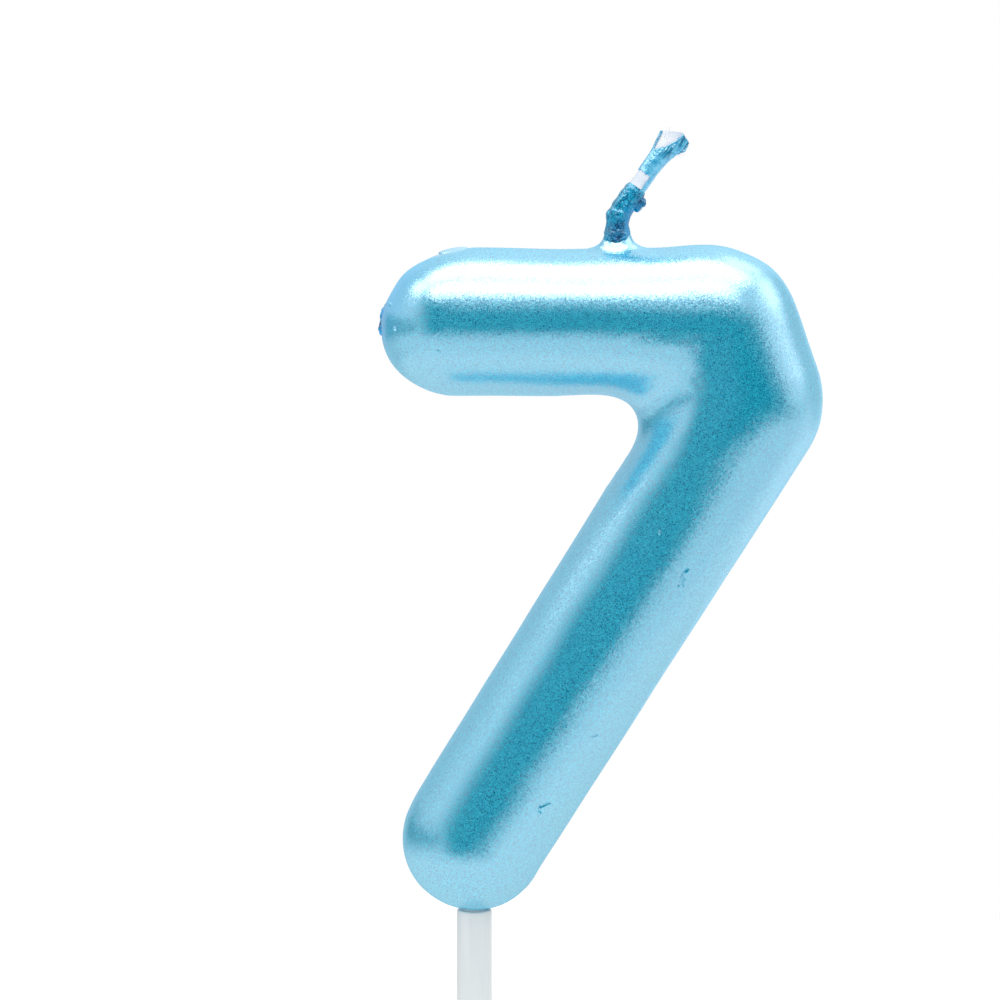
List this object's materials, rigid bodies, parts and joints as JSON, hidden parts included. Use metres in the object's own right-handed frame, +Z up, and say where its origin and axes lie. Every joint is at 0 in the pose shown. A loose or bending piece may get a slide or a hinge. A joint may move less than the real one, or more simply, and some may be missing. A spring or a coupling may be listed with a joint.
{
  "type": "number birthday candle",
  "caption": "Numeral seven birthday candle: round wax stroke under a pearl-blue dip coat, short plaited wick with cracked lacquer, and a plastic cake pick under the leg.",
  "frame": {"origin": "on the pick's axis at the lowest point of the leg's round foot, where the pick leaves the candle", "axes": "+X along the bar from its free end to the corner, +Y from the front of the numeral to its back, +Z up along the pick towards the bar"},
  "size_m": [0.0388, 0.013, 0.099],
  "materials": {
    "wax": "cast paraffin wax, waxy and faintly translucent",
    "pearl_lacquer": "pearl-blue dip lacquer with fine mica, satin metallic",
    "cotton": "plaited cotton, waxed",
    "lacquer_crust": "thick glossy dip lacquer with lumps",
    "lacquer_film": "thin cracked dip lacquer",
    "pick_plastic": "moulded milky plastic"
  },
  "bodies": {
    "root": {"wax_core": "wax", "pearl_coat": "pearl_lacquer", "wick_strand_1": "cotton", "wick_strand_2": "cotton", "wick_strand_3": "cotton", "wick_crust_lower": "lacquer_crust", "wick_crust_upper": "lacquer_film", "cake_pick": "pick_plastic"}
  },
  "joints": []
}
